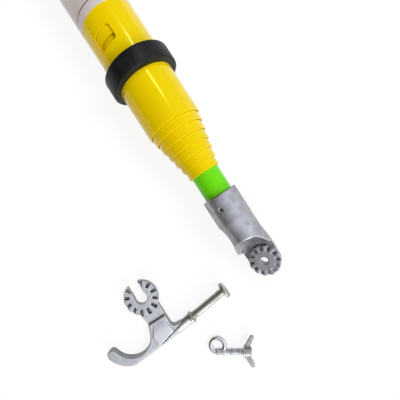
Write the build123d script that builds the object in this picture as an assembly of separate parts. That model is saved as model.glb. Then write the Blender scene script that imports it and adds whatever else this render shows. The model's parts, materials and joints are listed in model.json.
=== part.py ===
from build123d import *
import math
import os

# Telescopic hot stick, collapsed and lying on the ground, with its universal
# hook and its eyebolt lying beside the head. Millimetres.
# Origin: middle of the butt cap's flat end, on the stick's axis.
# +X runs along the stick to the head, +Z is up.

# Fibreglass sections, numbered from the outermost
SECTIONS = 8
TIP_RADIUS = 16.0
TUBE_WALL = 1.9
TUBE_GAP = 0.3
FIRST_TOP = 1465.3
TOP_STEP = 10.0
BASE_STEP = 42.0
TUBE_LIP = 0.8

# Lock windows near each top end, and the buttons that snap into them
WINDOW_LENGTH = 17.8
WINDOW_HALF_ANGLE = 20.0
WINDOW_CORNER = 2.6
WINDOW_FROM_TOP = 105.8
BUTTON_FROM_BASE = 16.0
BUTTON_CLEARANCE = 0.5
BUTTON_STROKE = 2.5
BUTTON_FLUSH = 0.1
FLANGE_MARGIN = 1.8
FLANGE_THICKNESS = 1.5
SPRING_WIDTH = 8.0
SPRING_THICKNESS = 0.8
SPRING_FLAT = 7.0
SPRING_RUN = 12.0

# Rubber fittings on the outermost section
RING_FROM_TOP = 78.1
RING_LENGTH = 20.4
BUMPER_RADIUS = 39.0
RING_EDGE = 2.2
CAP_FLOOR = 8.0
CAP_RIM_LENGTH = 16.0
CAP_SLEEVE_LENGTH = 48.0
CAP_SLEEVE_WALL = 3.0
SEAT_FIT = 0.05

# Cast head
ROLL = 24.5
SOCKET_START = 1553.3
SOCKET_WALL = 4.15
SOCKET_BORE_LENGTH = 45.0
SOCKET_LENGTH = 32.0
WAIST_FROM_START = 53.0
WAIST_HALF_WIDTH = 18.0
WAIST_ASIDE = 1.2
WAIST_HALF_HEIGHT = 18.8
SHOULDER_FROM_START = 66.0
SHOULDER_HALF_WIDTH = 19.2
BOLT_FROM_START = 90.9
EAR_RADIUS = 18.3
CHEEK_RADIUS = 18.7
CHEEK_FROM_BOLT = 20.0
FLARE_RADIUS = 26.5
FACE_DEPTH = 6.8
EAR_THICKNESS = 8.5
SPLINE_RISE = 5.0
SEAT_FLOOR_RADIUS = 25.0
SEAT_WALL_RADIUS = 26.0
SEAT_WALL_HEIGHT = -2.0
SEAT_RIM_RADIUS = 36.2
SEAT_RIM_HEIGHT = 12.5
BOLT_HOLE = 8.5
NOTCHES = 12
NOTCH_WIDTH = 4.6
NOTCH_ROOT_WIDTH = 3.2
NOTCH_DEPTH = 2.2
NOTCH_DRAFT = 18.0
NOTCH_INNER = 0.66
CAST_EDGE = 0.8
PIN_FROM_START = 14.7
PIN_DIAMETER = 4.4
PIN_BORE = 2.8
PIN_INSET = 0.8

# Cast hook, drawn flat with the middle of its ring at (0, 0)
HOOK_AT = (1608.3, -145.7)
HOOK_TURN = 90.0
RING_PLATE_RADIUS = 21.2
RING_PLATE_THICKNESS = 6.5
SLOT_WIDTH = 14.0
SLOT_END_RADIUS = 7.7
HOOK_THICKNESS = 8.5
HOOK_EDGE = 1.3
BACK_BEVEL = 2.6
STEP_RUN = 2.4
NECK_RIGHT = 14.2
NECK_LEFT = -13.0
FORK_AT = -48.4
PLATE_END_TOP = (26.0, -49.6)
PLATE_END_LOW = (26.0, -60.2)
BACK_LEFT = (-48.0, -65.8)
HOOK_BOTTOM = (-64.6, -56.4)
HOOK_SIDE = (-73.2, -42.6)
HOOK_TIP_OUTER = (-73.0, -37.6)
HOOK_TIP_TOP = (-68.2, -34.0)
HOOK_TIP_INNER = (-61.8, -38.4)
MOUTH_LOW = (-39.0, -57.8)
MOUTH_RIGHT = (-12.6, -39.6)
STEP_LEFT = (-9.2, -31.0)
FORK_FILLET = 4.0
PAD_HEIGHT = 10.5
PAD_CORNERS = [(-3.2, -34.8), (9.4, -37.4), (14.0, -54.0), (-10.6, -60.0), (-12.4, -48.0)]
PAD_SLOPE = 4.6
PAD_CORNER_RADIUS = 2.2
GROOVE_SHIFT = (0.7, -1.2)
GROOVE_DEPTH = 1.3
BAR_RADIUS = 5.7
BAR_LENGTH = 14.0
BAR_TAPER_LENGTH = 18.0
BAR_TAPER_RADIUS = 3.6

# Prong of the hook
PRONG_AT = (37.6, -53.3)
PRONG_ANGLE = 7.6
COLLAR_RADIUS = 7.2
COLLAR_LENGTH = 3.6
PRONG_RADIUS = 4.6
PRONG_LENGTH = 52.0
FLANGE_RADIUS = 9.5
PRONG_FLANGE = 4.2
PRONG_ROOT = 12.0
PRONG_ROOT_RADIUS = 4.0

# Eyebolt, washer and wing nut, drawn with the shank along X from (0, 0)
BOLT_AT = (1714.5, -105.4)
BOLT_HEADING = 60.0
SHANK_RADIUS = 4.0
SHANK_LENGTH = 44.0
EYE_ALONG = 2.4
EYE_ASIDE = 7.8
EYE_MEAN_RADIUS = 8.55
EYE_WIRE_RADIUS = 2.8
EYE_WIRE_SIDES = 8
WASHER_AT = 33.3
WASHER_RADIUS = 6.4
WASHER_THICKNESS = 1.6
NUT_CLEARANCE = 0.08
NUT_HEIGHT = 8.0
NUT_BASE_RADIUS = 7.0
NUT_TOP_RADIUS = 5.6
WING_ROOT_OUT = 5.4
WING_TIP_OUT = 16.6
WING_SWEEP = 6.4
WING_ROOT_RADIUS = 3.0
WING_TIP_RADIUS = 2.7
WING_THICKNESS = 3.0

GROUND = -BUMPER_RADIUS
SOCKET_RADIUS = TIP_RADIUS + SOCKET_WALL + SEAT_FIT
RING_START = FIRST_TOP - RING_FROM_TOP
SECTION_NUMBERS = range(1, SECTIONS + 1)


def tube_radius(number):
    return TIP_RADIUS + (SECTIONS - number) * (TUBE_WALL + TUBE_GAP)


def tube_base(number):
    return CAP_FLOOR + (number - 1) * BASE_STEP


def tube_top(number):
    if number == SECTIONS:
        return SOCKET_START + SOCKET_BORE_LENGTH
    return FIRST_TOP + (number - 1) * TOP_STEP


def window_width(number):
    return 2 * tube_radius(number) * math.sin(math.radians(WINDOW_HALF_ANGLE))


def along_x(radius, start, end):
    middle = (start + end) / 2
    return Pos(middle, 0, 0) * Rot(0, 90, 0) * Cylinder(radius, end - start)


def rolled(shape):
    return Rot(ROLL, 0, 0) * shape


def write(node, shape):
    shape.label = node
    export_step(shape, f"parts/{node}.step")


# A rounded opening through the upper wall of a section
def wall_opening(number, middle):
    outline = RectangleRounded(WINDOW_LENGTH, window_width(number), WINDOW_CORNER)
    return Pos(middle, 0, 0) * extrude(outline, tube_radius(number) + TUBE_WALL)


def section(number):
    radius = tube_radius(number)
    base = tube_base(number)
    top = tube_top(number)
    tube = along_x(radius, base, top)
    tube = chamfer(tube.edges().sort_by(Axis.X)[-1], TUBE_LIP)
    tube -= along_x(radius - TUBE_WALL, base - TUBE_WALL, top + TUBE_WALL)
    if number < SECTIONS:
        tube -= wall_opening(number, top - WINDOW_FROM_TOP)
    else:
        tube -= pin_hole()
    if number > 1:
        tube -= wall_opening(number, base + BUTTON_FROM_BASE)
    return tube


# Flat underside of a button's flange, with the button pushed flush
def flange_top(number):
    bore = tube_radius(number) - TUBE_WALL - TUBE_GAP
    half_width = window_width(number) / 2 + FLANGE_MARGIN
    return math.sqrt(bore**2 - half_width**2) - BUTTON_STROKE


def lock_button(number):
    middle = tube_base(number) + BUTTON_FROM_BASE
    length = WINDOW_LENGTH - 2 * BUTTON_CLEARANCE
    width = window_width(number) - 2 * BUTTON_CLEARANCE
    top = flange_top(number)
    bottom = top - FLANGE_THICKNESS
    outline = Rectangle(length, width)
    outline = chamfer(outline.vertices(), WINDOW_CORNER - BUTTON_CLEARANCE)
    stem = extrude(outline, tube_radius(number))
    stem -= Pos(0, 0, bottom / 2) * Box(2 * length, 2 * width, bottom)
    flange_length = WINDOW_LENGTH + 2 * FLANGE_MARGIN
    flange_width = window_width(number) + 2 * FLANGE_MARGIN
    flange = Pos(0, 0, bottom) * extrude(Rectangle(flange_length, flange_width), FLANGE_THICKNESS)
    face = along_x(tube_radius(number) - BUTTON_FLUSH, -length, length)
    return Pos(middle, 0, 0) * ((stem + flange) & face)


# Folded leaf spring between a button's flange and the far side of the bore
def button_spring(number):
    middle = tube_base(number) + BUTTON_FROM_BASE
    half = SPRING_THICKNESS / 2
    upper = flange_top(number) - FLANGE_THICKNESS - half
    bore = tube_radius(number) - TUBE_WALL
    lower = half - math.sqrt(bore**2 - (SPRING_WIDTH / 2) ** 2) + SEAT_FIT
    path = Polyline(
        (-SPRING_FLAT, upper),
        (SPRING_FLAT, upper),
        (SPRING_FLAT + SPRING_RUN, (upper + lower) / 2),
        (SPRING_FLAT, lower),
        (-SPRING_FLAT, lower),
    )
    strip = Plane.XZ * trace(path, SPRING_THICKNESS)
    return Pos(middle, 0, 0) * extrude(strip, SPRING_WIDTH / 2, both=True)


def rubber_ring():
    ring = along_x(BUMPER_RADIUS, RING_START, RING_START + RING_LENGTH)
    ring = chamfer(ring.edges().filter_by(GeomType.CIRCLE), RING_EDGE)
    return ring - along_x(tube_radius(1) + SEAT_FIT, RING_START - 1, RING_START + RING_LENGTH + 1)


def butt_cap():
    sleeve_radius = tube_radius(1) + CAP_SLEEVE_WALL
    rim = along_x(BUMPER_RADIUS, 0, CAP_RIM_LENGTH)
    rim = chamfer(rim.edges().filter_by(GeomType.CIRCLE), RING_EDGE)
    sleeve = along_x(sleeve_radius, RING_EDGE, CAP_SLEEVE_LENGTH)
    bore = along_x(tube_radius(1) + SEAT_FIT, CAP_FLOOR, CAP_SLEEVE_LENGTH + 1)
    return rim + sleeve - bore


def pin_hole():
    middle = SOCKET_START + PIN_FROM_START
    return Pos(middle, 0, 0) * Cylinder(PIN_DIAMETER / 2 + SEAT_FIT, 3 * SOCKET_RADIUS)


def roll_pin():
    middle = SOCKET_START + PIN_FROM_START
    length = 2 * (SOCKET_RADIUS - PIN_INSET)
    pin = Cylinder(PIN_DIAMETER / 2, length) - Cylinder(PIN_BORE / 2, length)
    return Pos(middle, 0, 0) * pin


# Radial notches in a toothed face, cut down from its top
def notches(radius, face_height, first_angle, cut_angles):
    inner, outer = radius * NOTCH_INNER, radius + 1
    opening = make_face(
        Polyline(
            (inner, -NOTCH_ROOT_WIDTH / 2),
            (outer, -NOTCH_WIDTH / 2),
            (outer, NOTCH_WIDTH / 2),
            (inner, NOTCH_ROOT_WIDTH / 2),
            close=True,
        )
    )
    cut = Pos(0, 0, face_height) * extrude(opening, NOTCH_DEPTH, dir=(0, 0, -1), taper=NOTCH_DRAFT)
    return [Rot(0, 0, first_angle + angle) * cut for angle in cut_angles]


# Upper half of the head: round at the socket, waisted, then flared to the shoulder
def head_upper(web_start, waist, shoulder, bolt):
    across = Plane.YZ
    cheek = bolt - CHEEK_FROM_BOLT
    shoulder_section = across.offset(shoulder) * Ellipse(SHOULDER_HALF_WIDTH, SOCKET_RADIUS)
    body = loft(
        [
            across.offset(web_start) * Circle(SOCKET_RADIUS),
            across.offset(waist) * Pos(WAIST_ASIDE, 0) * Ellipse(WAIST_HALF_WIDTH, WAIST_HALF_HEIGHT),
            shoulder_section,
        ]
    )
    body += extrude(shoulder_section, cheek - shoulder)
    above = Pos((web_start + cheek) / 2, 0, SOCKET_RADIUS - FACE_DEPTH) * Box(
        cheek - web_start, 4 * SOCKET_RADIUS, 2 * SOCKET_RADIUS
    )
    return body & above


# Lower half of the head: the socket's full width run out into the ear
def head_lower(web_start, waist, shoulder, bolt, back):
    side = make_face(
        Plane.XZ
        * Polyline(
            (web_start, -FACE_DEPTH),
            (bolt, -FACE_DEPTH),
            (bolt, back),
            (shoulder, back),
            (web_start, -SOCKET_RADIUS),
            close=True,
        )
    )
    ends = Pos(bolt, 0) * Circle(EAR_RADIUS) + Pos(web_start, 0) * Circle(SOCKET_RADIUS)
    ends += Pos(bolt - CHEEK_FROM_BOLT, 0) * Circle(CHEEK_RADIUS)
    plan = Pos(0, 0, -2 * SOCKET_RADIUS) * extrude(make_hull(ends.edges()), 2 * SOCKET_RADIUS)
    flare = Pos((waist + bolt) / 2, 0, 0) * Rot(0, 90, 0) * Cone(SOCKET_RADIUS, FLARE_RADIUS, bolt - waist)
    return extrude(side, SOCKET_RADIUS, both=True) & (along_x(SOCKET_RADIUS, web_start, waist) + flare) & plan


# Room for a line tool's ring to turn on the splined face
def head_seat(bolt, seat_floor):
    rim_height = SOCKET_RADIUS + CAST_EDGE
    profile = make_face(
        Plane.XZ
        * Polyline(
            (0, seat_floor),
            (SEAT_FLOOR_RADIUS, seat_floor),
            (SEAT_WALL_RADIUS, SEAT_WALL_HEIGHT),
            (SEAT_RIM_RADIUS, SEAT_RIM_HEIGHT),
            (SEAT_RIM_RADIUS, rim_height),
            (0, rim_height),
            close=True,
        )
    )
    return Pos(bolt, 0, 0) * revolve(profile, Axis.Z)


def head_casting():
    bolt = SOCKET_START + BOLT_FROM_START
    waist = SOCKET_START + WAIST_FROM_START
    shoulder = SOCKET_START + SHOULDER_FROM_START
    web_start = SOCKET_START + SOCKET_LENGTH
    face = -FACE_DEPTH
    back = face - EAR_THICKNESS
    head = along_x(SOCKET_RADIUS, SOCKET_START, web_start)
    head += head_upper(web_start, waist, shoulder, bolt)
    head += head_lower(web_start, waist, shoulder, bolt, back)
    head -= head_seat(bolt, face - SPLINE_RISE)
    disc = Pos(bolt, 0, (face + back) / 2) * Cylinder(EAR_RADIUS, EAR_THICKNESS)
    head += chamfer(disc.edges().sort_by(Axis.Z)[0], CAST_EDGE)
    head -= along_x(TIP_RADIUS + SEAT_FIT, SOCKET_START - 1, SOCKET_START + SOCKET_BORE_LENGTH + SEAT_FIT)
    head -= pin_hole()
    head -= Pos(bolt, 0, back) * Cylinder(BOLT_HOLE / 2, 4 * EAR_THICKNESS)
    pitch = 360 / NOTCHES
    for notch in notches(EAR_RADIUS, face, pitch / 2, [pitch * k for k in range(NOTCHES)]):
        head -= Pos(bolt, 0, 0) * notch
    return head


# Flat outline of the hook's neck, bar, back and arm
def hook_outline():
    neck_top = (NECK_RIGHT, -RING_PLATE_RADIUS / 2)
    fork = (NECK_RIGHT, FORK_AT)
    neck_side = (NECK_LEFT, -RING_PLATE_RADIUS / 2)
    edges = [
        Polyline(neck_side, neck_top, fork, PLATE_END_TOP, PLATE_END_LOW, BACK_LEFT),
        ThreePointArc(BACK_LEFT, HOOK_BOTTOM, HOOK_SIDE),
        Line(HOOK_SIDE, HOOK_TIP_OUTER),
        ThreePointArc(HOOK_TIP_OUTER, HOOK_TIP_TOP, HOOK_TIP_INNER),
        ThreePointArc(HOOK_TIP_INNER, MOUTH_LOW, MOUTH_RIGHT),
        Polyline(MOUTH_RIGHT, STEP_LEFT, neck_side),
    ]
    outline = make_face(edges)
    return fillet(outline.vertices().sort_by_distance(fork)[0], FORK_FILLET)


# Round bar behind the prong's collar, which sinks into the flat body
def hook_bar():
    profile = Polyline(
        (0, 0),
        (0, BAR_RADIUS),
        (-BAR_LENGTH, BAR_RADIUS),
        (-BAR_LENGTH - BAR_TAPER_LENGTH, BAR_TAPER_RADIUS),
        (-BAR_LENGTH - BAR_TAPER_LENGTH, 0),
        close=True,
    )
    return prong_place() * revolve(make_face(profile), Axis.X)


# What the wide bevel takes off the hook's straight back
def back_wedge():
    slope = math.atan2(PLATE_END_LOW[1] - BACK_LEFT[1], PLATE_END_LOW[0] - BACK_LEFT[0])
    size = 2 * BACK_BEVEL
    out = size / 2 / math.sqrt(2) - BACK_BEVEL / 2
    wedge = Pos(0, -out, out) * Rot(45, 0, 0) * Box(8 * RING_PLATE_RADIUS, size, size)
    return Pos(*BACK_LEFT, HOOK_THICKNESS) * Rot(0, 0, math.degrees(slope)) * wedge


def pad_outline():
    outline = make_face(Polyline(*PAD_CORNERS, close=True))
    return fillet(outline.vertices(), PAD_CORNER_RADIUS)


# Raised pad, level with the body towards the ring and proud of it towards the back
def hook_pad():
    pad = extrude(pad_outline(), PAD_HEIGHT)
    top = Pos(PAD_CORNERS[0][0], PAD_CORNERS[0][1], HOOK_THICKNESS) * Rot(-PAD_SLOPE, 0, 0)
    above = top * Pos(0, 0, PAD_HEIGHT) * Box(4 * PAD_HEIGHT, 6 * PAD_HEIGHT, 2 * PAD_HEIGHT)
    return pad - above


def hook_casting():
    body = extrude(hook_outline(), HOOK_THICKNESS)
    body = fillet(body.faces().sort_by(Axis.Z)[-1].edges(), HOOK_EDGE)
    body -= back_wedge()
    step = make_face(
        Plane.YZ
        * Polyline(
            (STEP_LEFT[1], RING_PLATE_THICKNESS),
            (STEP_LEFT[1] - STEP_RUN, HOOK_THICKNESS),
            (RING_PLATE_RADIUS, HOOK_THICKNESS),
            (RING_PLATE_RADIUS, RING_PLATE_THICKNESS),
            close=True,
        )
    )
    body -= extrude(step, RING_PLATE_RADIUS, both=True)
    body -= Pos(*GROOVE_SHIFT, HOOK_THICKNESS - GROOVE_DEPTH) * extrude(pad_outline(), HOOK_THICKNESS)
    plate = extrude(Circle(RING_PLATE_RADIUS), RING_PLATE_THICKNESS)
    hook = body + plate + hook_pad() + hook_bar()
    slot = Circle(SLOT_END_RADIUS) + Pos(0, RING_PLATE_RADIUS) * Rectangle(SLOT_WIDTH, 2 * RING_PLATE_RADIUS)
    hook -= extrude(slot, RING_PLATE_THICKNESS)
    pitch = 360 / NOTCHES
    angles = [pitch * k for k in range(NOTCHES) if k != NOTCHES // 4]
    for notch in notches(RING_PLATE_RADIUS, RING_PLATE_THICKNESS, 0, angles):
        hook -= notch
    return hook - prong_place() * along_x(PRONG_ROOT_RADIUS + SEAT_FIT, -PRONG_ROOT, 1)


def prong_place():
    return Pos(*PRONG_AT, HOOK_THICKNESS / 2) * Rot(0, 0, PRONG_ANGLE)


def prong():
    collar = along_x(COLLAR_RADIUS, 0, COLLAR_LENGTH)
    bar = along_x(PRONG_RADIUS, 0, COLLAR_LENGTH + PRONG_LENGTH)
    flange = along_x(FLANGE_RADIUS, COLLAR_LENGTH + PRONG_LENGTH - PRONG_FLANGE, COLLAR_LENGTH + PRONG_LENGTH)
    flange = chamfer(flange.edges().filter_by(GeomType.CIRCLE), CAST_EDGE)
    root = along_x(PRONG_ROOT_RADIUS, 1 - PRONG_ROOT, 0)
    return prong_place() * (collar + bar + flange + root)


# The hook lies on its arm and on the rim of the prong's flange
def beside_head(shape):
    prong_reach = COLLAR_LENGTH + PRONG_LENGTH - PRONG_FLANGE
    reach = PRONG_AT[0] + prong_reach * math.cos(math.radians(PRONG_ANGLE)) - HOOK_SIDE[0]
    tilt = math.asin((FLANGE_RADIUS - HOOK_THICKNESS / 2) / reach)
    rise = -HOOK_SIDE[0] * math.sin(tilt)
    return Pos(*HOOK_AT, GROUND + rise) * Rot(0, 0, HOOK_TURN) * Rot(0, -math.degrees(tilt), 0) * shape


def eye_bolt():
    shank = along_x(SHANK_RADIUS, 0, SHANK_LENGTH)
    shank = chamfer(shank.edges().filter_by(GeomType.CIRCLE), CAST_EDGE)
    wire = Plane.XZ * Pos(EYE_MEAN_RADIUS, 0) * RegularPolygon(EYE_WIRE_RADIUS, EYE_WIRE_SIDES)
    return shank + Pos(EYE_ALONG, EYE_ASIDE, 0) * revolve(wire, Axis.Z)


def washer():
    ring = Cylinder(WASHER_RADIUS, WASHER_THICKNESS) - Cylinder(SHANK_RADIUS + NUT_CLEARANCE, WASHER_THICKNESS)
    return Pos(WASHER_AT + WASHER_THICKNESS / 2, 0, 0) * Rot(0, 90, 0) * ring


def wing_nut():
    base = WASHER_AT + WASHER_THICKNESS + SEAT_FIT
    boss = Pos(base + NUT_HEIGHT / 2, 0, 0) * Rot(0, 90, 0) * Cone(NUT_BASE_RADIUS, NUT_TOP_RADIUS, NUT_HEIGHT)
    for side in (1, -1):
        root = Pos(base + WING_ROOT_RADIUS, side * WING_ROOT_OUT) * Circle(WING_ROOT_RADIUS)
        tip = Pos(base + WING_ROOT_RADIUS + WING_SWEEP, side * WING_TIP_OUT) * Circle(WING_TIP_RADIUS)
        blade = make_hull((root + tip).edges())
        boss += extrude(blade, WING_THICKNESS / 2, both=True)
    return boss - along_x(SHANK_RADIUS + NUT_CLEARANCE, base - 1, base + NUT_HEIGHT + 1)


# The bolt lies on its shank's blunt end and its nut, so its shank rises a little
def on_the_ground(shape):
    tilt = math.degrees(math.asin((NUT_BASE_RADIUS - SHANK_RADIUS) / (WASHER_AT + WASHER_THICKNESS)))
    return Pos(*BOLT_AT, GROUND + SHANK_RADIUS) * Rot(0, 0, BOLT_HEADING) * Rot(0, -tilt, 0) * shape


os.makedirs("parts", exist_ok=True)
for number in SECTION_NUMBERS:
    write(f"section_{number}", rolled(section(number)))
for number in SECTION_NUMBERS[1:]:
    write(f"lock_button_{number}", rolled(lock_button(number)))
    write(f"button_spring_{number}", rolled(button_spring(number)))
write("rubber_ring", rubber_ring())
write("butt_cap", butt_cap())
write("head_casting", rolled(head_casting()))
write("roll_pin", rolled(roll_pin()))
write("hook_casting", beside_head(hook_casting()))
write("prong", beside_head(prong()))
write("eye_bolt", on_the_ground(eye_bolt()))
write("washer", on_the_ground(washer()))
write("wing_nut", on_the_ground(wing_nut()))
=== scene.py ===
import json
import math

import bmesh
import bpy
from mathutils import Matrix, Vector


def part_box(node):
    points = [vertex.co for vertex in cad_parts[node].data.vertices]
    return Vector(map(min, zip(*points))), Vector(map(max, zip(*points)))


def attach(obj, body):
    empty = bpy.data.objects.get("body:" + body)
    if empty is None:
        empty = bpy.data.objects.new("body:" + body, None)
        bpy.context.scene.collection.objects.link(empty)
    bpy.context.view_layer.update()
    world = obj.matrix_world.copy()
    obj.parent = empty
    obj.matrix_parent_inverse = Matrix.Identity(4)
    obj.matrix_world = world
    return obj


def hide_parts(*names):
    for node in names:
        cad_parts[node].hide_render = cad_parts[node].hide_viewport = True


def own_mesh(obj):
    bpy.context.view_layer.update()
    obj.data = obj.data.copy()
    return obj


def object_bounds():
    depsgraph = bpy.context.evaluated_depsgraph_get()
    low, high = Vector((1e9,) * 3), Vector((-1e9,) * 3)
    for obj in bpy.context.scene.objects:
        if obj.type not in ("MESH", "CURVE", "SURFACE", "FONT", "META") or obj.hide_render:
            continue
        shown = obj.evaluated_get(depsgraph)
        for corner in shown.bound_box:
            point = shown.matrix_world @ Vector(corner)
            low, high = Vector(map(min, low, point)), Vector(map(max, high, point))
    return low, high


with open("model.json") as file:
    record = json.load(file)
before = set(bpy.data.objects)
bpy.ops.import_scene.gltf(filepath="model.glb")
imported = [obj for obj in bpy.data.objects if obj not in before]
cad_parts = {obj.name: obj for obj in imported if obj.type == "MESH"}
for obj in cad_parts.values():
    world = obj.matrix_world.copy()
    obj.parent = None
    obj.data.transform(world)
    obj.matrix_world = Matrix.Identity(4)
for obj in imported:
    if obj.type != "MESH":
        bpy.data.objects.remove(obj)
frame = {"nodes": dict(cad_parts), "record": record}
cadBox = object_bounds()
mm = 0.001
mergeDistance = 0.001 * mm
print("packed model loaded")


def named(rows, name):
    return next(row for row in rows if row["name"] == name)


# Camera, straight down on the head end, turned so that the stick runs to the lower right
camera = {
    "place": (1.5473, -0.0208, 0.2915), "turn": 57.14, "lens": 23.85, "sensor": 36.0,
    "near": 0.01, "far": 200.0,
}


def aimCamera(values):
    data = bpy.data.cameras.new("overheadCamera")
    data.lens = values["lens"]
    data.sensor_width = values["sensor"]
    data.clip_start = values["near"]
    data.clip_end = values["far"]
    thing = bpy.data.objects.new("overheadCamera", data)
    thing.location = values["place"]
    thing.rotation_euler = (0.0, 0.0, math.radians(values["turn"]))
    bpy.context.scene.collection.objects.link(thing)
    bpy.context.scene.camera = thing


aimCamera(camera)
bpy.context.scene.view_settings.view_transform = "Standard"
print("camera set")


# Small helpers for node trees
def makeGroup(name, inputs, outputs):
    tree = bpy.data.node_groups.new(name, "ShaderNodeTree")
    for label, default in inputs:
        kind = "NodeSocketFloat" if isinstance(default, float) else "NodeSocketColor"
        socket = tree.interface.new_socket(label, in_out="INPUT", socket_type=kind)
        socket.default_value = default
    for label in outputs:
        tree.interface.new_socket(label, in_out="OUTPUT", socket_type="NodeSocketFloat")
    return tree, tree.nodes.new("NodeGroupInput"), tree.nodes.new("NodeGroupOutput")


def addNode(tree, kind, links=(), **settings):
    node = tree.nodes.new(kind)
    for key, value in settings.items():
        if key.startswith("in_"):
            node.inputs[key[3:].replace("_", " ")].default_value = value
        else:
            setattr(node, key, value)
    for source, label in links:
        tree.links.new(source, node.inputs[label])
    return node


def addMath(tree, operation, first, second):
    node = tree.nodes.new("ShaderNodeMath")
    node.operation = operation
    for slot, value in enumerate((first, second)):
        if isinstance(value, (int, float)):
            node.inputs[slot].default_value = value
        else:
            tree.links.new(value, node.inputs[slot])
    return node.outputs[0]


def addMix(tree, factor, first, second):
    node = tree.nodes.new("ShaderNodeMix")
    node.data_type = "RGBA"
    for slot, value in ((0, factor), (6, first), (7, second)):
        if isinstance(value, (int, float)):
            node.inputs[slot].default_value = value
        elif isinstance(value, tuple):
            node.inputs[slot].default_value = (*value, 1.0)
        else:
            tree.links.new(value, node.inputs[slot])
    return node.outputs[2]


def addBand(tree, value, low, high):
    node = addNode(tree, "ShaderNodeMapRange", [(value, "Value")])
    for label, end in (("From Min", low), ("From Max", high)):
        if isinstance(end, (int, float)):
            node.inputs[label].default_value = end
        else:
            tree.links.new(end, node.inputs[label])
    return node.outputs["Result"]


# Speckle: one noise, cut between two levels, on object coordinates
def buildSpeckle():
    tree, given, out = makeGroup(
        "speckle", [("Scale", 400.0), ("Low", 0.4), ("High", 0.7)], ["Mask", "Height"]
    )
    place = addNode(tree, "ShaderNodeTexCoord")
    noise = addNode(tree, "ShaderNodeTexNoise", [(place.outputs["Object"], "Vector")], in_Detail=4.0)
    tree.links.new(given.outputs["Scale"], noise.inputs["Scale"])
    mask = addBand(tree, noise.outputs["Fac"], given.outputs["Low"], given.outputs["High"])
    tree.links.new(mask, out.inputs["Mask"])
    tree.links.new(noise.outputs["Fac"], out.inputs["Height"])
    return tree


# Streaks that run along the stick
def buildStreaks():
    tree, given, out = makeGroup(
        "streaks", [("Along", 4.0), ("Across", 500.0), ("Low", 0.5), ("High", 0.75)], ["Mask", "Height"]
    )
    place = addNode(tree, "ShaderNodeTexCoord")
    stretch = addNode(tree, "ShaderNodeCombineXYZ")
    for label, source in (("X", "Along"), ("Y", "Across"), ("Z", "Across")):
        tree.links.new(given.outputs[source], stretch.inputs[label])
    scaled = addNode(tree, "ShaderNodeVectorMath", operation="MULTIPLY")
    tree.links.new(place.outputs["Object"], scaled.inputs[0])
    tree.links.new(stretch.outputs[0], scaled.inputs[1])
    noise = addNode(tree, "ShaderNodeTexNoise", [(scaled.outputs[0], "Vector")], in_Scale=1.0, in_Detail=3.0)
    mask = addBand(tree, noise.outputs["Fac"], given.outputs["Low"], given.outputs["High"])
    tree.links.new(mask, out.inputs["Mask"])
    tree.links.new(noise.outputs["Fac"], out.inputs["Height"])
    return tree


# Wear that shows on raised edges, broken up by noise
def buildEdgeWear():
    tree, given, out = makeGroup("edgeWear", [("Start", 0.52), ("Full", 0.6), ("Patch", 300.0)], ["Mask"])
    shape = addNode(tree, "ShaderNodeNewGeometry")
    edge = addBand(tree, shape.outputs["Pointiness"], given.outputs["Start"], given.outputs["Full"])
    place = addNode(tree, "ShaderNodeTexCoord")
    noise = addNode(tree, "ShaderNodeTexNoise", [(place.outputs["Object"], "Vector")], in_Detail=3.0)
    tree.links.new(given.outputs["Patch"], noise.inputs["Scale"])
    patch = addBand(tree, noise.outputs["Fac"], 0.3, 0.6)
    tree.links.new(addMath(tree, "MULTIPLY", edge, patch), out.inputs["Mask"])
    return tree


# Dust that settles on faces that look up
def buildDust():
    tree, given, out = makeGroup("dust", [("Amount", 0.3), ("Patch", 60.0)], ["Mask"])
    shape = addNode(tree, "ShaderNodeNewGeometry")
    parts = addNode(tree, "ShaderNodeSeparateXYZ", [(shape.outputs["Normal"], "Vector")])
    up = addBand(tree, parts.outputs["Z"], 0.1, 1.0)
    place = addNode(tree, "ShaderNodeTexCoord")
    noise = addNode(tree, "ShaderNodeTexNoise", [(place.outputs["Object"], "Vector")], in_Detail=5.0)
    tree.links.new(given.outputs["Patch"], noise.inputs["Scale"])
    patch = addBand(tree, noise.outputs["Fac"], 0.4, 0.75)
    amount = addMath(tree, "MULTIPLY", addMath(tree, "MULTIPLY", up, patch), given.outputs["Amount"])
    tree.links.new(amount, out.inputs["Mask"])
    return tree


# How far a face leans from level: a mask for painted shade on steep walls
def buildSteepShade():
    tree, given, out = makeGroup("steepShade", [("Flat", 0.85), ("Steep", 0.35)], ["Mask"])
    shape = addNode(tree, "ShaderNodeNewGeometry")
    parts = addNode(tree, "ShaderNodeSeparateXYZ", [(shape.outputs["Normal"], "Vector")])
    lean = addBand(tree, parts.outputs["Z"], given.outputs["Flat"], given.outputs["Steep"])
    tree.links.new(lean, out.inputs["Mask"])
    return tree


# Painted shade in pockets and corners, where little open air is left round the surface
def buildHollowShade():
    tree, given, out = makeGroup("hollowShade", [("Reach", 0.004), ("Open", 0.85), ("Shut", 0.45)], ["Mask"])
    air = addNode(tree, "ShaderNodeAmbientOcclusion", samples=8)
    tree.links.new(given.outputs["Reach"], air.inputs["Distance"])
    closed = addBand(tree, air.outputs["AO"], given.outputs["Open"], given.outputs["Shut"])
    tree.links.new(closed, out.inputs["Mask"])
    return tree


groups = {
    "speckle": buildSpeckle(), "streaks": buildStreaks(), "edgeWear": buildEdgeWear(), "dust": buildDust(),
    "steepShade": buildSteepShade(), "hollowShade": buildHollowShade(),
}


def placeGroup(tree, name, **values):
    node = tree.nodes.new("ShaderNodeGroup")
    node.node_tree = groups[name]
    for label, value in values.items():
        node.inputs[label].default_value = value
    return node


def startMaterial(name, **plain):
    finish = bpy.data.materials.new(name)
    finish.use_nodes = True
    tree = finish.node_tree
    shader = tree.nodes["Principled BSDF"]
    for label, value in plain.items():
        shader.inputs[label.replace("_", " ")].default_value = value
    return finish, tree, shader


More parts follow.
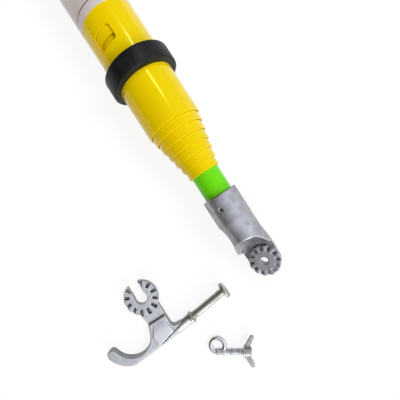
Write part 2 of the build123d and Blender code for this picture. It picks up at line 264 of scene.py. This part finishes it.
def addBump(tree, shader, height, strength, distance):
    bump = addNode(tree, "ShaderNodeBump", [(height, "Height")], in_Strength=strength, in_Distance=distance)
    tree.links.new(bump.outputs[0], shader.inputs["Normal"])


# A second colour laid over a base where a mask shows
def layOver(tree, mask, base, colour, share=1.0):
    amount = mask if share == 1.0 else addMath(tree, "MULTIPLY", mask, share)
    return addMix(tree, amount, base, colour)


# Roughness: a plain value, raised by a share of a mask
def addRoughness(tree, shader, mask, share, plain):
    rough = addMath(tree, "MULTIPLY_ADD", mask, share)
    rough.node.inputs[2].default_value = plain
    tree.links.new(rough, shader.inputs["Roughness"])


def shaded(colour, share):
    return tuple(min(1.0, share * c) for c in colour)


# Glossy pultruded fibreglass: colour, drifts of a second colour, faint glass strands, scuffs, and painted
# shade where little light gets in
def makeFibreglass(name, colour, drift, scuff, paintedShade, glint):
    finish, tree, shader = startMaterial(name, Specular_IOR_Level=0.5, Specular_Tint=glint)
    pocketShade = placeGroup(tree, "hollowShade", Reach=0.012, Open=0.55, Shut=0.15)
    broad = placeGroup(tree, "speckle", Scale=9.0, Low=0.35, High=0.7)
    strands = placeGroup(tree, "streaks", Along=6.0, Across=900.0, Low=0.5, High=0.8)
    scuffs = placeGroup(tree, "streaks", Along=60.0, Across=350.0, Low=0.66, High=0.74)
    base = layOver(tree, broad.outputs["Mask"], colour, drift, share=0.5)
    base = layOver(tree, strands.outputs["Mask"], base, drift, share=0.22)
    base = layOver(tree, scuffs.outputs["Mask"], base, scuff, share=0.18)
    # painted shade: darker where little light gets in, in the window recess, under lips and next to the ring
    base = layOver(tree, pocketShade.outputs["Mask"], base, paintedShade)
    tree.links.new(base, shader.inputs["Base Color"])
    addRoughness(tree, shader, scuffs.outputs["Mask"], share=0.18, plain=0.13)
    addBump(tree, shader, strands.outputs["Height"], strength=0.05, distance=0.1 * mm)
    return finish


# Sand-cast aluminium: mottled grey, coarse grain, painted shade on steep walls, bright rubbed edges, painted
# shade in the hollows
def makeCastMetal(name, light, dark, worn, grain, metallic, roughness, wallShadeBand, pocketShadeBand, high=None):
    finish, tree, shader = startMaterial(name, Metallic=metallic)
    wall = placeGroup(tree, "steepShade", Flat=wallShadeBand[0], Steep=wallShadeBand[1])
    pocketShade = placeGroup(tree, "hollowShade", Reach=0.005, Open=pocketShadeBand[0], Shut=pocketShadeBand[1])
    mottle = placeGroup(tree, "speckle", Scale=130.0, Low=0.38, High=0.66)
    pits = placeGroup(tree, "speckle", Scale=grain, Low=0.56, High=0.7)
    wear = placeGroup(tree, "edgeWear", Start=0.52, Full=0.6, Patch=250.0)
    dusty = placeGroup(tree, "dust", Amount=0.25, Patch=90.0)
    base = layOver(tree, mottle.outputs["Mask"], light, dark)
    base = layOver(tree, pits.outputs["Mask"], base, shaded(dark, 0.4), share=0.45)
    base = layOver(tree, dusty.outputs["Mask"], base, worn)
    # painted shade: steep walls darker than the faces that look up
    base = layOver(tree, wall.outputs["Mask"], base, shaded(dark, 0.3), share=0.8)
    base = layOver(tree, wear.outputs["Mask"], base, worn, share=0.6)
    if high:
        place = addNode(tree, "ShaderNodeTexCoord")
        level = addNode(tree, "ShaderNodeVectorMath", [(place.outputs["Object"], 0)], operation="DOT_PRODUCT")
        level.inputs[1].default_value = high["normal"]
        rubbed = addBand(tree, level.outputs["Value"], high["from"], high["to"])
        base = layOver(tree, rubbed, base, worn, share=0.9)
    # painted shade: pockets and notches darkened where little light gets in
    base = layOver(tree, pocketShade.outputs["Mask"], base, shaded(dark, 0.12))
    tree.links.new(base, shader.inputs["Base Color"])
    addRoughness(tree, shader, mottle.outputs["Mask"], share=0.12, plain=roughness)
    height = addMath(tree, "MULTIPLY_ADD", pits.outputs["Height"], 0.7)
    tree.links.new(mottle.outputs["Height"], height.node.inputs[2])
    addBump(tree, shader, height, strength=0.35, distance=0.3 * mm)
    return finish


# Zinc-plated or bare steel with fine turning marks and dull patches
def makeSteel(name, colour, dull, roughness, patch):
    finish, tree, shader = startMaterial(name, Metallic=1.0)
    cloud = placeGroup(tree, "speckle", Scale=patch, Low=0.4, High=0.68)
    fine = placeGroup(tree, "speckle", Scale=1800.0, Low=0.45, High=0.6)
    wear = placeGroup(tree, "edgeWear", Start=0.53, Full=0.62, Patch=400.0)
    base = layOver(tree, cloud.outputs["Mask"], colour, dull)
    base = layOver(tree, wear.outputs["Mask"], base, shaded(colour, 1.3), share=0.6)
    tree.links.new(base, shader.inputs["Base Color"])
    addRoughness(tree, shader, cloud.outputs["Mask"], share=0.16, plain=roughness)
    addBump(tree, shader, fine.outputs["Height"], strength=0.12, distance=0.1 * mm)
    return finish


# Black rubber or nylon with a grey bloom, dust and rubbed edges
def makeRubber(name, colour, dustColour):
    finish, tree, shader = startMaterial(name, Specular_IOR_Level=0.2)
    grain = placeGroup(tree, "speckle", Scale=1100.0, Low=0.4, High=0.7)
    bloom = placeGroup(tree, "speckle", Scale=80.0, Low=0.45, High=0.75)
    dusty = placeGroup(tree, "dust", Amount=0.3, Patch=140.0)
    wear = placeGroup(tree, "edgeWear", Start=0.52, Full=0.62, Patch=200.0)
    base = layOver(tree, bloom.outputs["Mask"], colour, dustColour, share=0.3)
    base = layOver(tree, dusty.outputs["Mask"], base, dustColour)
    base = layOver(tree, wear.outputs["Mask"], base, dustColour, share=0.5)
    tree.links.new(base, shader.inputs["Base Color"])
    addRoughness(tree, shader, bloom.outputs["Mask"], share=0.15, plain=0.42)
    addBump(tree, shader, grain.outputs["Height"], strength=0.2, distance=0.2 * mm)
    return finish


# Clear-coated label film, a little stained and rubbed
def makeLabelFilm(name, colour, stain):
    finish, tree, shader = startMaterial(name, Coat_Weight=0.3, Coat_Roughness=0.15)
    cloud = placeGroup(tree, "speckle", Scale=45.0, Low=0.4, High=0.75)
    rub = placeGroup(tree, "streaks", Along=80.0, Across=260.0, Low=0.62, High=0.78)
    base = layOver(tree, cloud.outputs["Mask"], colour, stain, share=0.5)
    base = layOver(tree, rub.outputs["Mask"], base, stain, share=0.35)
    tree.links.new(base, shader.inputs["Base Color"])
    addRoughness(tree, shader, rub.outputs["Mask"], share=0.2, plain=0.38)
    addBump(tree, shader, cloud.outputs["Height"], strength=0.08, distance=0.2 * mm)
    return finish


# The hook's raised pad is rubbed brighter: heights square to its plate, from the middle of the prong
padBand = (4.5 * mm, 5.3 * mm)


def padHeights():
    mount = named(frame["record"]["mounts"], "prong_bar")
    along = Vector(mount["axis"]).normalized()
    normal = (Vector((0, 0, 1)) - along * along.z).normalized()
    middle = Vector(mount["pos_m"]).dot(normal)
    return {"normal": normal, "from": middle + padBand[0], "to": middle + padBand[1]}


finishes = {
    "yellow": makeFibreglass(
        "yellowFibreglass", colour=(0.86, 0.66, 0.0), drift=(0.84, 0.58, 0.0), scuff=(0.9, 0.82, 0.2),
        paintedShade=(0.5, 0.25, 0.0), glint=(1.0, 0.88, 0.12, 1.0),
    ),
    "green": makeFibreglass(
        "greenFibreglass", colour=(0.17, 0.78, 0.006), drift=(0.11, 0.62, 0.004), scuff=(0.4, 0.85, 0.2),
        paintedShade=(0.03, 0.35, 0.0), glint=(0.4, 1.0, 0.2, 1.0),
    ),
    "head": makeCastMetal(
        "castHead", light=(0.435, 0.435, 0.465), dark=(0.33, 0.33, 0.355), worn=(0.68, 0.69, 0.74),
        grain=1300.0, metallic=0.78, roughness=0.3, wallShadeBand=(0.6, 0.1), pocketShadeBand=(0.85, 0.42),
    ),
    "hook": makeCastMetal(
        "castHook", light=(0.7, 0.71, 0.745), dark=(0.57, 0.58, 0.61), worn=(0.94, 0.955, 1.0),
        grain=900.0, metallic=0.82, roughness=0.34, wallShadeBand=(0.97, 0.5), pocketShadeBand=(0.96, 0.6),
        high=padHeights(),
    ),
    "nut": makeCastMetal(
        "castNut", light=(0.44, 0.44, 0.43), dark=(0.32, 0.32, 0.32), worn=(0.66, 0.66, 0.65),
        grain=1400.0, metallic=0.75, roughness=0.34, wallShadeBand=(0.7, 0.2), pocketShadeBand=(0.92, 0.55),
    ),
    "prong": makeSteel("prongSteel", (0.45, 0.44, 0.4), (0.33, 0.32, 0.28), roughness=0.42, patch=90.0),
    "zinc": makeSteel("zincSteel", (0.64, 0.65, 0.66), (0.44, 0.45, 0.46), roughness=0.28, patch=220.0),
    "pin": makeSteel("pinSteel", (0.45, 0.45, 0.46), (0.3, 0.3, 0.31), roughness=0.35, patch=300.0),
    "spring": makeSteel("springSteel", (0.4, 0.41, 0.44), (0.25, 0.26, 0.3), roughness=0.3, patch=200.0),
    "button": makeRubber("buttonNylon", (0.012, 0.012, 0.013), (0.045, 0.045, 0.045)),
    "rubber": makeRubber("blackRubber", (0.004, 0.006, 0.005), (0.03, 0.035, 0.032)),
    "label": makeLabelFilm("labelFilm", (0.68, 0.63, 0.62), (0.53, 0.48, 0.47)),
    "labelLine": makeLabelFilm("labelLine", (0.035, 0.032, 0.035), (0.11, 0.1, 0.1)),
}
print("finishes made:", len(finishes))


# Mesh helpers
def addObject(name, bm):
    mesh = bpy.data.meshes.new(name)
    bm.to_mesh(mesh)
    bm.free()
    thing = bpy.data.objects.new(name, mesh)
    bpy.context.scene.collection.objects.link(thing)
    return thing


def finishPiece(name, bm, material, body, sharp=35.0):
    piece = addObject(name, bm)
    smoothFaces(piece, sharp)
    piece.data.materials.append(finishes[material])
    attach(piece, body)
    return piece


def smoothFaces(piece, sharp):
    for face in piece.data.polygons:
        face.use_smooth = True
    piece.data.set_sharp_from_angle(angle=math.radians(sharp))


def spinAboutX(points, steps, closed=True):
    bm = bmesh.new()
    line = [bm.verts.new((x, radius, 0.0)) for x, radius in points]
    ends = line[1:] + line[:1] if closed else line[1:]
    edges = [bm.edges.new(pair) for pair in zip(line, ends)]
    bmesh.ops.spin(
        bm, geom=line + edges, cent=(0, 0, 0), axis=(1, 0, 0), angle=math.tau, steps=steps, use_merge=True
    )
    bmesh.ops.remove_doubles(bm, verts=bm.verts, dist=mergeDistance)
    bmesh.ops.recalc_face_normals(bm, faces=bm.faces)
    return bm


def bevelEdges(bm, edges, width, segments):
    bmesh.ops.bevel(
        bm, geom=edges, offset=width, offset_type="OFFSET", segments=segments, profile=0.5,
        affect="EDGES", clamp_overlap=True, material=-1,
    )


def roundEdges(bm, width, segments, least=30.0):
    angle = math.radians(least)
    sharp = [edge for edge in bm.edges if len(edge.link_faces) == 2 and edge.calc_face_angle(0.0) > angle]
    bevelEdges(bm, sharp, width, segments)


def applyModifiers(piece):
    ready = piece.evaluated_get(bpy.context.evaluated_depsgraph_get())
    mesh = bpy.data.meshes.new_from_object(ready)
    piece.modifiers.clear()
    piece.data = mesh


# Broad faces keep their own normals; only the small rounded edges turn
def evenNormals(piece):
    piece.modifiers.new("evenNormals", "WEIGHTED_NORMAL").keep_sharp = True
    applyModifiers(piece)


# One skin round everything in a piece, with its edges softened
def softenSkin(piece, voxel, rounds):
    remesh = piece.modifiers.new("remesh", "REMESH")
    remesh.mode = "VOXEL"
    remesh.voxel_size = voxel
    soft = piece.modifiers.new("soften", "SMOOTH")
    soft.factor = 0.5
    soft.iterations = rounds
    applyModifiers(piece)
    smoothFaces(piece, 60.0)


# The CAD solid's own shape, softened as sand casting leaves it
def softenCopy(name, node, material, body, voxel, rounds):
    bm = bmesh.new()
    bm.from_mesh(frame["nodes"][node].data)
    bmesh.ops.remove_doubles(bm, verts=bm.verts, dist=mergeDistance)
    piece = finishPiece(name, bm, material, body)
    softenSkin(piece, voxel, rounds)
    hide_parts(node)
    return piece


# Fibreglass sections, each with its rounded lip and its lock window
tube = {
    "count": 8, "wall": 1.9 * mm, "lip": 0.7 * mm, "lipSegments": 3, "steps": 128, "roll": 24.5,
    "windowFromTop": 105.8 * mm, "windowLength": 17.8 * mm, "windowHalfAngle": 20.0, "windowCorner": 3.4 * mm,
    "cornerSegments": 6, "windowRim": 0.6 * mm, "rimSegments": 2, "rimAngle": 50.0,
    "buttonFromBase": 16.0 * mm, "pinFit": 0.05 * mm, "pinSegments": 24,
}


# Where a round CAD node starts and ends along the stick, and its radius
def boxEnds(node):
    low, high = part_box(node)
    return low[0], high[0], (high[2] - low[2]) / 2


def tubeEnds(number):
    return boxEnds(f"section_{number}")


def windowCutter(number, middle):
    radius = tubeEnds(number)[2]
    width = 2 * radius * math.sin(math.radians(tube["windowHalfAngle"]))
    bm = bmesh.new()
    bmesh.ops.create_cube(bm, size=1.0)
    bmesh.ops.scale(bm, vec=(tube["windowLength"], width, radius), verts=bm.verts)
    upright = [edge for edge in bm.edges if abs(edge.verts[0].co.z - edge.verts[1].co.z) > 0.5 * radius]
    bevelEdges(bm, upright, tube["windowCorner"], tube["cornerSegments"])
    place = Matrix.Rotation(math.radians(tube["roll"]), 4, "X") @ Matrix.Translation((0, 0, radius))
    bm.transform(Matrix.Translation((middle, 0, 0)) @ place)
    return addObject("cutter", bm)


def pinCutter():
    start, end, reach = boxEnds("roll_pin")
    bm = bmesh.new()
    size = (end - start) / 2 + tube["pinFit"]
    bmesh.ops.create_cone(
        bm, cap_ends=True, segments=tube["pinSegments"], radius1=size, radius2=size, depth=6 * reach
    )
    place = Matrix.Rotation(math.radians(tube["roll"]), 4, "X")
    bm.transform(Matrix.Translation(((start + end) / 2, 0, 0)) @ place)
    return addObject("cutter", bm)


def cutOut(piece, cutter):
    cut = piece.modifiers.new("cut", "BOOLEAN")
    cut.operation = "DIFFERENCE"
    cut.solver = "EXACT"
    cut.object = cutter
    applyModifiers(piece)
    bpy.data.objects.remove(cutter)


def makeTube(number):
    base, top, radius = tubeEnds(number)
    inner = radius - tube["wall"]
    bm = spinAboutX([(base, inner), (base, radius), (top, radius), (top, inner)], tube["steps"])
    roundEdges(bm, tube["lip"], tube["lipSegments"])
    body = "outer_section" if number == 1 else f"inner_section_{number}"
    piece = finishPiece(f"tube{number}", bm, "green" if number == tube["count"] else "yellow", body)
    if number < tube["count"]:
        cutOut(piece, windowCutter(number, top - tube["windowFromTop"]))
    else:
        cutOut(piece, pinCutter())
    if number > 1:
        cutOut(piece, windowCutter(number, base + tube["buttonFromBase"]))
    rim = piece.modifiers.new("rim", "BEVEL")
    rim.width = tube["windowRim"]
    rim.segments = tube["rimSegments"]
    rim.limit_method = "ANGLE"
    rim.angle_limit = math.radians(tube["rimAngle"])
    applyModifiers(piece)
    smoothFaces(piece, 35.0)
    evenNormals(piece)
    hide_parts(f"section_{number}")


for number in range(1, tube["count"] + 1):
    makeTube(number)
print("fibreglass sections made:", tube["count"])


# Label film wrapped round the outer section, with a plain border line near each end
label = {
    "lower": 1331.7 * mm, "length": 180.0 * mm, "lift": 0.12 * mm, "gap": 14.0, "steps": 120,
    "line": 9.5 * mm, "lineWidth": 1.1 * mm,
}


def makeLabel():
    radius = tubeEnds(1)[2]
    start, end = label["lower"] - label["length"], label["lower"]
    bm = bmesh.new()
    line = [bm.verts.new((x, 0.0, -radius)) for x in (start, end)]
    edge = bm.edges.new(line)
    halfGap = Matrix.Rotation(math.radians(label["gap"] / 2), 3, "X")
    bmesh.ops.rotate(bm, cent=(0, 0, 0), matrix=halfGap, verts=line)
    bmesh.ops.spin(
        bm, geom=line + [edge], cent=(0, 0, 0), axis=(1, 0, 0), angle=math.radians(360 - label["gap"]),
        steps=label["steps"],
    )
    for middle in (end - label["line"], start + label["line"]):
        for offset in (-0.5, 0.5):
            bmesh.ops.bisect_plane(
                bm, geom=bm.verts[:] + bm.edges[:] + bm.faces[:], dist=0.1 * mergeDistance,
                plane_co=(middle + offset * label["lineWidth"], 0, 0), plane_no=(1, 0, 0),
            )
    for face in bm.faces:
        x = face.calc_center_median().x
        if min(abs(x - end + label["line"]), abs(x - start - label["line"])) < 0.5 * label["lineWidth"]:
            face.material_index = 1
    bmesh.ops.recalc_face_normals(bm, faces=bm.faces)
    outward = bm.faces[:][0]
    if outward.normal.dot(outward.calc_center_median() * Vector((0, 1, 1))) < 0:
        bmesh.ops.reverse_faces(bm, faces=bm.faces)
    bmesh.ops.solidify(bm, geom=bm.faces[:], thickness=-label["lift"])
    piece = finishPiece("label", bm, "label", "outer_section")
    piece.data.materials.append(finishes["labelLine"])


makeLabel()
print("label made")

# Rubber ring and butt cap
rubberFittings = {"edge": 1.8 * mm, "segments": 5, "capEdge": 1.6 * mm, "capSegments": 4, "steps": 128}


def makeRing():
    start, end, radius = boxEnds("rubber_ring")
    bore = tubeEnds(1)[2]
    bm = spinAboutX([(start, bore), (start, radius), (end, radius), (end, bore)], rubberFittings["steps"])
    onRim = [edge for edge in bm.edges if abs(edge.verts[0].co.yz.length - radius) < 0.01 * mm]
    outer = [edge for edge in onRim if edge.calc_face_angle(0.0) > 1]
    bevelEdges(bm, outer, rubberFittings["edge"], rubberFittings["segments"])
    piece = finishPiece("ring", bm, "rubber", "outer_section")
    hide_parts("rubber_ring")


cap = {"floor": 8.0 * mm, "rim": 16.0 * mm, "sleeve": 48.0 * mm, "sleeveWall": 3.0 * mm}


def makeCap():
    radius = boxEnds("butt_cap")[2]
    bore = tubeEnds(1)[2]
    sleeve = bore + cap["sleeveWall"]
    points = [
        (0.0, 0.0), (0.0, radius), (cap["rim"], radius), (cap["rim"], sleeve),
        (cap["sleeve"], sleeve), (cap["sleeve"], bore), (cap["floor"], bore), (cap["floor"], 0.0),
    ]
    bm = spinAboutX(points, rubberFittings["steps"], closed=False)
    roundEdges(bm, rubberFittings["capEdge"], rubberFittings["capSegments"])
    piece = finishPiece("buttCap", bm, "rubber", "outer_section")
    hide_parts("butt_cap")


makeRing()
makeCap()
print("rubber fittings made")

# Castings
castings = {
    "castHead": {
        "node": "head_casting", "material": "head", "body": "inner_section_8",
        "voxel": 0.52 * mm, "rounds": 9,
    },
    "castHook": {"node": "hook_casting", "material": "hook", "body": "hook", "voxel": 0.36 * mm, "rounds": 2},
    "wingNut": {"node": "wing_nut", "material": "nut", "body": "wing_nut", "voxel": 0.3 * mm, "rounds": 4},
}
shoulder = {"boltAt": 1644.2 * mm, "inside": 30.0 * mm, "outside": 42.0 * mm, "above": 3.0 * mm, "rounds": 40}


# The rolled edge over the seat is rubbed rounder than the rest of the head
def rubShoulder(piece):
    turnBack = Matrix.Rotation(-math.radians(tube["roll"]), 3, "X")
    rubbed = piece.vertex_groups.new(name="shoulder")
    for vertex in piece.data.vertices:
        x, y, z = turnBack @ vertex.co
        reach = math.hypot(x - shoulder["boltAt"], y)
        if shoulder["inside"] < reach < shoulder["outside"] and z > shoulder["above"]:
            rubbed.add([vertex.index], 1.0, "REPLACE")
    rub = piece.modifiers.new("rub", "SMOOTH")
    rub.vertex_group = rubbed.name
    rub.factor = 0.5
    rub.iterations = shoulder["rounds"]
    applyModifiers(piece)


for name, values in castings.items():
    made = softenCopy(name, **values)
    if name == "castHead":
        rubShoulder(made)
print("castings made:", len(castings))


# A frame with its X along an axis of the record
def alongAxis(point, axis, upHint=(0, 0, 1)):
    x = Vector(axis).normalized()
    z = (Vector(upHint) - x * Vector(upHint).dot(x)).normalized()
    y = z.cross(x)
    turn = Matrix((x, y, z)).transposed().to_4x4()
    return Matrix.Translation(point) @ turn


# Prong of the hook: collar, plain bar, end flange
prong = {
    "collar": 7.2 * mm, "collarLength": 3.6 * mm, "bar": 4.6 * mm, "length": 52.0 * mm,
    "flange": 9.5 * mm, "flangeLength": 4.2 * mm, "edge": 0.9 * mm, "segments": 4, "steps": 96,
}


def makeProng():
    mount = named(frame["record"]["mounts"], "prong_bar")
    p = prong
    end = p["collarLength"] + p["length"]
    points = [
        (0.0, 0.0), (0.0, p["collar"]), (p["collarLength"], p["collar"]), (p["collarLength"], p["bar"]),
        (end - p["flangeLength"], p["bar"]), (end - p["flangeLength"], p["flange"]),
        (end, p["flange"]), (end, 0.0),
    ]
    bm = spinAboutX(points, p["steps"], closed=False)
    roundEdges(bm, p["edge"], p["segments"])
    back = Matrix.Translation((-p["collarLength"] - p["length"] / 2, 0, 0))
    bm.transform(alongAxis(mount["pos_m"], mount["axis"]) @ back)
    piece = finishPiece("prongBar", bm, "prong", "hook")
    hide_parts("prong")


# Eyebolt: bent eye, blunt bend, threaded shank. The tooth's points are shares of the pitch along and of
# the depth outwards, and its foot lies inside the core.
bolt = {
    "shank": 4.0 * mm, "length": 44.0 * mm, "pitch": 25.4 / 18 * mm, "threadDepth": 0.62 * mm,
    "threadStart": 12.0 * mm,
    "tooth": [(0.16, -0.4), (0.16, 0.0), (0.44, 1.0), (0.62, 1.0), (0.9, 0.0), (0.9, -0.4)],
    "steps": 48, "shankEdge": 0.8 * mm, "edgeSegments": 3, "tip": 0.5 * mm, "voxel": 0.2 * mm, "rounds": 1,
    "eyeAlong": 2.4 * mm, "eyeAside": 7.8 * mm, "eyeRadius": 8.55 * mm, "eyeSteps": 96,
    "wire": 2.8 * mm, "wireSegments": 24,
    "washerAt": 33.3 * mm, "washer": 6.4 * mm, "washerBore": 4.08 * mm, "washerThick": 1.6 * mm,
    "washerSteps": 64, "washerEdge": 0.2 * mm, "washerSegments": 2,
}


def boltFrame():
    joint = named(frame["record"]["behaviour"]["joints"], "wing_nut_turn")
    back = Matrix.Translation((-bolt["washerAt"] - bolt["washerThick"], 0, 0))
    return alongAxis(joint["pos_m"], -Vector(joint["axis"])) @ back


def absorb(bm, other):
    mesh = bpy.data.meshes.new("absorbed")
    other.to_mesh(mesh)
    other.free()
    bm.from_mesh(mesh)
    bpy.data.meshes.remove(mesh)


def makeEye():
    b = bolt
    eye = bmesh.new()
    bmesh.ops.create_circle(eye, cap_ends=False, segments=b["wireSegments"], radius=b["wire"])
    bmesh.ops.rotate(eye, cent=(0, 0, 0), matrix=Matrix.Rotation(math.radians(90), 3, "X"), verts=eye.verts)
    bmesh.ops.translate(eye, vec=(b["eyeRadius"], 0, 0), verts=eye.verts)
    bmesh.ops.spin(
        eye, geom=eye.verts[:] + eye.edges[:], cent=(0, 0, 0), axis=(0, 0, 1), angle=math.tau,
        steps=b["eyeSteps"], use_merge=True,
    )
    bmesh.ops.recalc_face_normals(eye, faces=eye.faces)
    bmesh.ops.translate(eye, vec=(b["eyeAlong"], b["eyeAside"], 0), verts=eye.verts)
    return eye


def makeThread(root):
    b = bolt
    turns = round((b["length"] - b["threadStart"]) / b["pitch"]) - 1
    thread = bmesh.new()
    line = [thread.verts.new((x * b["pitch"], root + out * b["threadDepth"], 0.0)) for x, out in b["tooth"]]
    edges = [thread.edges.new(pair) for pair in zip(line, line[1:] + line[:1])]
    bmesh.ops.spin(
        thread, geom=line + edges, cent=(0, 0, 0), axis=(1, 0, 0), dvec=(b["pitch"] / b["steps"], 0, 0),
        angle=math.tau * turns, steps=b["steps"] * turns,
    )
    bmesh.ops.remove_doubles(thread, verts=thread.verts, dist=mergeDistance)
    bmesh.ops.holes_fill(thread, edges=[edge for edge in thread.edges if edge.is_boundary], sides=0)
    bmesh.ops.recalc_face_normals(thread, faces=thread.faces)
    bmesh.ops.translate(thread, vec=(b["threadStart"] - 0.5 * b["pitch"], 0, 0), verts=thread.verts)
    return thread


def makeEyebolt():
    b = bolt
    root = b["shank"] - b["threadDepth"]
    plain = [(0.0, 0.0), (0.0, b["shank"]), (b["threadStart"], b["shank"]), (b["threadStart"], 0.0)]
    core = [
        (b["threadStart"] - b["pitch"], 0.0), (b["threadStart"] - b["pitch"], root),
        (b["length"] - b["tip"], root), (b["length"], root - b["tip"]), (b["length"], 0.0),
    ]
    bm = spinAboutX(plain, b["steps"], closed=False)
    roundEdges(bm, b["shankEdge"], b["edgeSegments"])
    for part in (makeEye(), makeThread(root), spinAboutX(core, b["steps"], closed=False)):
        absorb(bm, part)
    bm.transform(boltFrame())
    piece = finishPiece("eyebolt", bm, "zinc", "bolt")
    softenSkin(piece, b["voxel"], b["rounds"])
    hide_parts("eye_bolt")


def makeWasher():
    b = bolt
    start, end = b["washerAt"], b["washerAt"] + b["washerThick"]
    outline = [(start, b["washerBore"]), (start, b["washer"]), (end, b["washer"]), (end, b["washerBore"])]
    bm = spinAboutX(outline, b["washerSteps"])
    roundEdges(bm, b["washerEdge"], b["washerSegments"])
    bm.transform(boltFrame())
    piece = finishPiece("flatWasher", bm, "zinc", "washer")
    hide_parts("washer")


makeProng()
makeEyebolt()
makeWasher()


# Parts that keep their CAD shape
def dressNode(node, material):
    part = frame["nodes"][node]
    part.data.materials.clear()
    part.data.materials.append(finishes[material])


# Folded leaf springs: copies of the CAD springs with their edges rounded, each riding with its own section
leafSpring = {"edge": 0.12 * mm, "segments": 2, "slack": 0.03 * mm}


def makeLeafSpring(number):
    node = f"button_spring_{number}"
    bm = bmesh.new()
    bm.from_mesh(frame["nodes"][node].data)
    bmesh.ops.remove_doubles(bm, verts=bm.verts, dist=mergeDistance)
    roundEdges(bm, leafSpring["edge"], leafSpring["segments"])
    piece = finishPiece(f"leafSpring{number}", bm, "spring", f"inner_section_{number}")
    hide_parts(node)
    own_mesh(piece)


for number in range(2, tube["count"] + 1):
    dressNode(f"lock_button_{number}", "button")
    makeLeafSpring(number)
dressNode("roll_pin", "pin")
print("small parts made")

# Floor and light
studio = {
    "floorSize": 60.0, "floorWhite": 0.85, "floorShade": 0.16, "floorGlow": 1.04,
    "brightSide": (0.74, 0.5, 0.43), "dimColour": (0.06, 0.045, 0.03), "brightColour": (1.5, 1.56, 1.68),
    "worldLight": 0.4, "brightBand": (-0.15, 0.95), "floorMiddle": 0.8,
}
suns = {
    "keySun": {"from": (0.2, 0.55, 0.8), "energy": 1.35, "angle": 22.0, "glossy": False, "colour": (1, 1, 1)},
    "endSun": {"from": (0.87, -0.1, 0.5), "energy": 1.2, "angle": 26.0, "glossy": True, "colour": (1, 1, 1)},
    "warmSun": {
        "from": (-0.4, -0.8, 0.45), "energy": 0.35, "angle": 40.0, "glossy": False, "colour": (1, 0.6, 0.25),
    },
}
softboxes = [
    {"place": (0.64, 0.63, 1.0), "turn": -36.0, "size": (0.12, 0.05), "power": 1.3},
    {"place": (0.93, 0.4, 1.0), "turn": 8.0, "size": (0.17, 0.045), "power": 1.6},
]


def makeFloor():
    finish = bpy.data.materials.new("paleFloor")
    finish.use_nodes = True
    tree = finish.node_tree
    tree.nodes.clear()
    rays = addNode(tree, "ShaderNodeLightPath")
    seen = addMath(tree, "MAXIMUM", rays.outputs["Is Camera Ray"], rays.outputs["Is Glossy Ray"])
    seen = addMath(tree, "MAXIMUM", seen, rays.outputs["Is Transmission Ray"])
    white = studio["floorWhite"]
    lit = addNode(tree, "ShaderNodeBsdfDiffuse", in_Color=(white, white, white, 1.0))
    glow = addNode(tree, "ShaderNodeEmission", in_Strength=studio["floorGlow"])
    blend = addNode(tree, "ShaderNodeMixShader")
    tree.links.new(addMath(tree, "MULTIPLY", seen, 1.0 - studio["floorShade"]), blend.inputs[0])
    tree.links.new(lit.outputs[0], blend.inputs[1])
    tree.links.new(glow.outputs[0], blend.inputs[2])
    out = addNode(tree, "ShaderNodeOutputMaterial")
    tree.links.new(blend.outputs[0], out.inputs["Surface"])
    bm = bmesh.new()
    bmesh.ops.create_grid(bm, x_segments=1, y_segments=1, size=studio["floorSize"] / 2)
    bmesh.ops.translate(bm, vec=(studio["floorMiddle"], 0.0, cadBox[0][2]), verts=bm.verts)
    floor = addObject("floor", bm)
    floor.data.materials.append(finish)


# White to the camera; what lights and mirrors in the metal is brighter on one side than the other
def makeWorld():
    world = bpy.data.worlds.new("studioWorld")
    bpy.context.scene.world = world
    world.use_nodes = True
    tree = world.node_tree
    back = tree.nodes["Background"]
    sky = addNode(tree, "ShaderNodeTexCoord")
    side = addNode(tree, "ShaderNodeVectorMath", operation="DOT_PRODUCT")
    side.inputs[1].default_value = Vector(studio["brightSide"]).normalized()
    tree.links.new(sky.outputs["Generated"], side.inputs[0])
    level = addBand(tree, side.outputs["Value"], *studio["brightBand"])
    rays = addNode(tree, "ShaderNodeLightPath")
    seen = rays.outputs["Is Camera Ray"]
    colour = addMix(tree, level, studio["dimColour"], studio["brightColour"])
    tree.links.new(addMix(tree, seen, colour, (1.0, 1.0, 1.0)), back.inputs["Color"])
    shiny = addMath(tree, "MAXIMUM", rays.outputs["Is Glossy Ray"], rays.outputs["Is Transmission Ray"])
    share = addMath(tree, "MULTIPLY_ADD", addMath(tree, "MAXIMUM", shiny, seen), 1.0 - studio["worldLight"])
    share.node.inputs[2].default_value = studio["worldLight"]
    tree.links.new(share, back.inputs["Strength"])


def makeLamps():
    for name, sun in suns.items():
        data = bpy.data.lights.new(name, "SUN")
        data.energy = sun["energy"]
        data.angle = math.radians(sun["angle"])
        lamp = bpy.data.objects.new(name, data)
        lamp.rotation_euler = Vector(sun["from"]).to_track_quat("Z", "Y").to_euler()
        lamp.visible_glossy = sun["glossy"]
        data.color = sun["colour"]
        bpy.context.scene.collection.objects.link(lamp)
    for number, box in enumerate(softboxes, 1):
        data = bpy.data.lights.new(f"softbox{number}", "AREA")
        data.shape = "RECTANGLE"
        data.size, data.size_y = box["size"]
        data.energy = box["power"]
        lamp = bpy.data.objects.new(f"softbox{number}", data)
        lamp.location = box["place"]
        lamp.rotation_euler = (0.0, 0.0, math.radians(box["turn"]))
        bpy.context.scene.collection.objects.link(lamp)


makeFloor()
makeWorld()
makeLamps()
print("floor and light set")
